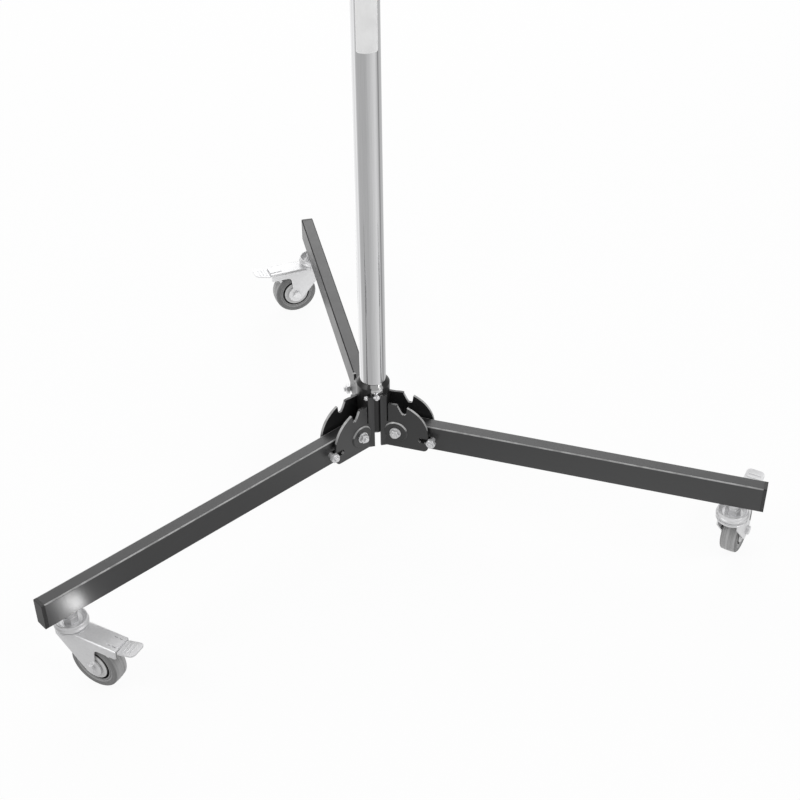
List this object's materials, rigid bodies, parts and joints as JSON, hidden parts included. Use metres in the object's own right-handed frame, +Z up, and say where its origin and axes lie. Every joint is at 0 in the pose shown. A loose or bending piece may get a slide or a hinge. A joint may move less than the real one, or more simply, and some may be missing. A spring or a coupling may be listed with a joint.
{
  "type": "wheeled light stand",
  "caption": "Wheeled light stand: a round column with telescoping risers on three folding box-tube legs, each ending in a braked swivel caster, with a round spigot on top.",
  "frame": {"origin": "on the column's axis, at the floor that the wheels stand on", "axes": "+Z up along the column, +Y along the rear leg; the left and right legs point to 210 and 330 degrees"},
  "size_m": [1.048, 0.9231, 1.1098],
  "materials": {
    "chrome_tube": "polished chrome plate",
    "black_paint": "satin black powder coat",
    "cap_plastic": "satin black plastic",
    "knob_plastic": "moulded black plastic",
    "collar_casting": "black coated casting",
    "zinc_steel": "bright zinc plate",
    "bright_steel": "ground steel",
    "tyre_rubber": "non-marking grey rubber",
    "wheel_core": "grey moulded plastic"
  },
  "bodies": {
    "stand": {"base_column": "chrome_tube", "hub_sleeve": "zinc_steel", "hinge_plate_a_left": "black_paint", "hinge_plate_a_right": "black_paint", "hinge_plate_a_rear": "black_paint", "hinge_plate_b_left": "black_paint", "hinge_plate_b_right": "black_paint", "hinge_plate_b_rear": "black_paint", "pivot_bolts": "zinc_steel", "pivot_sleeves": "bright_steel", "collar_1": "collar_casting"},
    "knob_1": {"knob_1": "knob_plastic"},
    "riser_1": {"riser_1": "chrome_tube", "collar_2": "collar_casting"},
    "knob_2": {"knob_2": "knob_plastic"},
    "riser_2": {"riser_2": "chrome_tube", "spigot": "zinc_steel"},
    "leg_left": {"leg_tube_left": "black_paint", "leg_cap_left": "cap_plastic", "caster_cup_left": "zinc_steel", "caster_kingpin_left": "zinc_steel", "lock_spring_left": "bright_steel"},
    "lock_left": {"lock_bolt_left": "zinc_steel"},
    "caster_left": {"caster_fork_left": "zinc_steel", "caster_balls_left": "bright_steel", "caster_axle_left": "zinc_steel", "caster_bush_left": "bright_steel", "brake_pin_left": "zinc_steel"},
    "wheel_left": {"caster_wheel_left": "wheel_core", "caster_tyre_left": "tyre_rubber"},
    "pedal_left": {"brake_pedal_left": "zinc_steel"},
    "leg_right": {"leg_tube_right": "black_paint", "leg_cap_right": "cap_plastic", "caster_cup_right": "zinc_steel", "caster_kingpin_right": "zinc_steel", "lock_spring_right": "bright_steel"},
    "lock_right": {"lock_bolt_right": "zinc_steel"},
    "caster_right": {"caster_fork_right": "zinc_steel", "caster_balls_right": "bright_steel", "caster_axle_right": "zinc_steel", "caster_bush_right": "bright_steel", "brake_pin_right": "zinc_steel"},
    "wheel_right": {"caster_wheel_right": "wheel_core", "caster_tyre_right": "tyre_rubber"},
    "pedal_right": {"brake_pedal_right": "zinc_steel"},
    "leg_rear": {"leg_tube_rear": "black_paint", "leg_cap_rear": "cap_plastic", "caster_cup_rear": "zinc_steel", "caster_kingpin_rear": "zinc_steel", "lock_spring_rear": "bright_steel"},
    "lock_rear": {"lock_bolt_rear": "zinc_steel"},
    "caster_rear": {"caster_fork_rear": "zinc_steel", "caster_balls_rear": "bright_steel", "caster_axle_rear": "zinc_steel", "caster_bush_rear": "bright_steel", "brake_pin_rear": "zinc_steel"},
    "wheel_rear": {"caster_wheel_rear": "wheel_core", "caster_tyre_rear": "tyre_rubber"},
    "pedal_rear": {"brake_pedal_rear": "zinc_steel"}
  },
  "joints": [
    {"name": "riser_1_slide", "type": "slide", "parent": "stand", "child": "riser_1", "axis": [0, 0, 1], "range_m": [0, 0.65]},
    {"name": "riser_2_slide", "type": "slide", "parent": "riser_1", "child": "riser_2", "axis": [0, 0, 1], "range_m": [0, 0.65]},
    {"name": "knob_1_turn", "type": "hinge", "parent": "stand", "child": "knob_1", "pos_m": [0.04, 0, 0.95476], "axis": [1, 0, 0], "range_deg": [-360, 0]},
    {"name": "knob_2_turn", "type": "hinge", "parent": "riser_1", "child": "knob_2", "pos_m": [0.04, 0, 1.02076], "axis": [1, 0, 0], "range_deg": [-360, 0]},
    {"name": "leg_left_fold", "type": "hinge", "parent": "stand", "child": "leg_left", "pos_m": [-0.03455, -0.01995, 0.1391], "axis": [-0.5, 0.866, 0], "range_deg": [0, 84]},
    {"name": "lock_left_slide", "type": "slide", "parent": "leg_left", "child": "lock_left", "axis": [-0.866, -0.5, 0], "range_m": [-0.016, 0], "stiffness_N_per_m": 400, "springref_m": -0.026, "deforming": ["lock_spring_left"]},
    {"name": "caster_left_swivel", "type": "hinge", "parent": "leg_left", "child": "caster_left", "pos_m": [-0.46332, -0.2675, 0.0865], "axis": [0, 0, 1], "continuous": true},
    {"name": "wheel_left_spin", "type": "hinge", "parent": "caster_left", "child": "wheel_left", "pos_m": [-0.4354, -0.29177, 0.0375], "axis": [0.6561, 0.7547, 0], "continuous": true},
    {"name": "pedal_left_press", "type": "hinge", "parent": "caster_left", "child": "pedal_left", "pos_m": [-0.41049, -0.31342, 0.0803], "axis": [0.6561, 0.7547, 0], "range_deg": [0, 12]},
    {"name": "leg_right_fold", "type": "hinge", "parent": "stand", "child": "leg_right", "pos_m": [0.03455, -0.01995, 0.1391], "axis": [-0.5, -0.866, 0], "range_deg": [0, 84]},
    {"name": "lock_right_slide", "type": "slide", "parent": "leg_right", "child": "lock_right", "axis": [0.866, -0.5, 0], "range_m": [-0.016, 0], "stiffness_N_per_m": 400, "springref_m": -0.026, "deforming": ["lock_spring_right"]},
    {"name": "caster_right_swivel", "type": "hinge", "parent": "leg_right", "child": "caster_right", "pos_m": [0.46332, -0.2675, 0.0865], "axis": [0, 0, 1], "continuous": true},
    {"name": "wheel_right_spin", "type": "hinge", "parent": "caster_right", "child": "wheel_right", "pos_m": [0.48808, -0.24, 0.0375], "axis": [-0.7431, 0.6691, 0], "continuous": true},
    {"name": "pedal_right_press", "type": "hinge", "parent": "caster_right", "child": "pedal_right", "pos_m": [0.51016, -0.21548, 0.0803], "axis": [-0.7431, 0.6691, 0], "range_deg": [0, 12]},
    {"name": "leg_rear_fold", "type": "hinge", "parent": "stand", "child": "leg_rear", "pos_m": [0, 0.0399, 0.1391], "axis": [1, 0, 0], "range_deg": [0, 84]},
    {"name": "lock_rear_slide", "type": "slide", "parent": "leg_rear", "child": "lock_rear", "axis": [0, 1, 0], "range_m": [-0.016, 0], "stiffness_N_per_m": 400, "springref_m": -0.026, "deforming": ["lock_spring_rear"]},
    {"name": "caster_rear_swivel", "type": "hinge", "parent": "leg_rear", "child": "caster_rear", "pos_m": [0, 0.535, 0.0865], "axis": [0, 0, 1], "continuous": true},
    {"name": "wheel_rear_spin", "type": "hinge", "parent": "caster_rear", "child": "wheel_rear", "pos_m": [-0.03657, 0.5294, 0.0375], "axis": [0.1513, -0.9885, 0], "continuous": true},
    {"name": "pedal_rear_press", "type": "hinge", "parent": "caster_rear", "child": "pedal_rear", "pos_m": [-0.0692, 0.52441, 0.0803], "axis": [0.1513, -0.9885, 0], "range_deg": [0, 12]}
  ]
}
